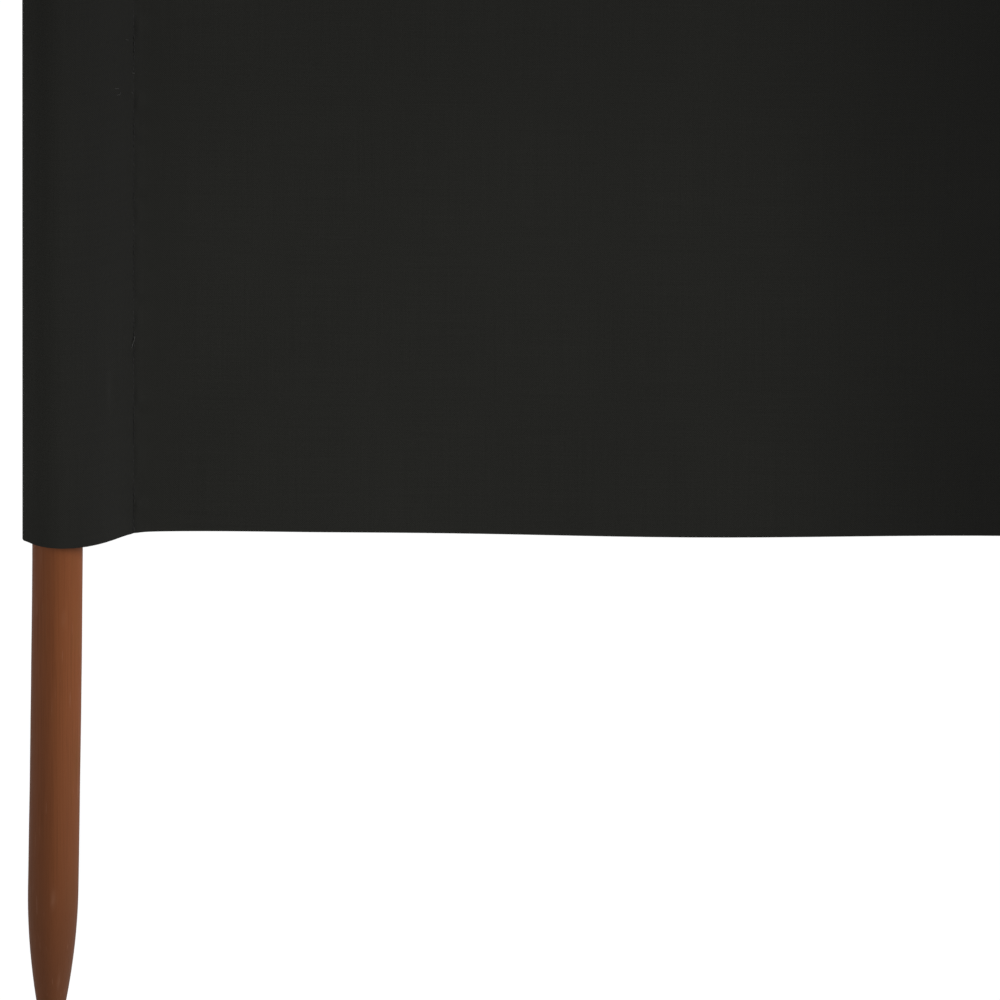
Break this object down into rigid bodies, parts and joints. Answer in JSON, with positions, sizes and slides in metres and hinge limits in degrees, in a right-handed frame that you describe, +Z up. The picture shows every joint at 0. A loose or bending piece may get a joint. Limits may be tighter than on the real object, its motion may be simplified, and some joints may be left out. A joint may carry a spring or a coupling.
{
  "type": "beach windbreak",
  "caption": "Long cloth windbreak: near-black fabric held by round stained wooden poles in sewn pockets, each with a pointed leg below the hem.",
  "frame": {"origin": "centre of the flat end of the middle pole's point, which is also the middle of the row's bottom", "axes": "+X along the row, to the right as seen from the side on which the cloth passes in front of the poles; +Y away from that side, behind the cloth; +Z up along the poles"},
  "size_m": [8.0186, 0.0306, 1.2],
  "materials": {
    "pole_wood": "brown stained round pole, fine upright grain, satin",
    "cloth": "near-black plain woven cotton or polyester cloth, matt"
  },
  "bodies": {
    "root": {"pole_1": "pole_wood", "pole_2": "pole_wood", "pole_3": "pole_wood", "pole_4": "pole_wood", "pole_5": "pole_wood", "pole_6": "pole_wood", "pole_7": "pole_wood", "panel_1": "cloth", "panel_2": "cloth", "panel_3": "cloth", "panel_4": "cloth", "panel_5": "cloth", "panel_6": "cloth", "pocket_front_1": "cloth", "pocket_front_2": "cloth", "pocket_front_3": "cloth", "pocket_front_4": "cloth", "pocket_front_5": "cloth", "pocket_front_6": "cloth", "pocket_front_7": "cloth", "pocket_back_1": "cloth", "pocket_back_2": "cloth", "pocket_back_3": "cloth", "pocket_back_4": "cloth", "pocket_back_5": "cloth", "pocket_back_6": "cloth", "pocket_back_7": "cloth"}
  },
  "joints": []
}
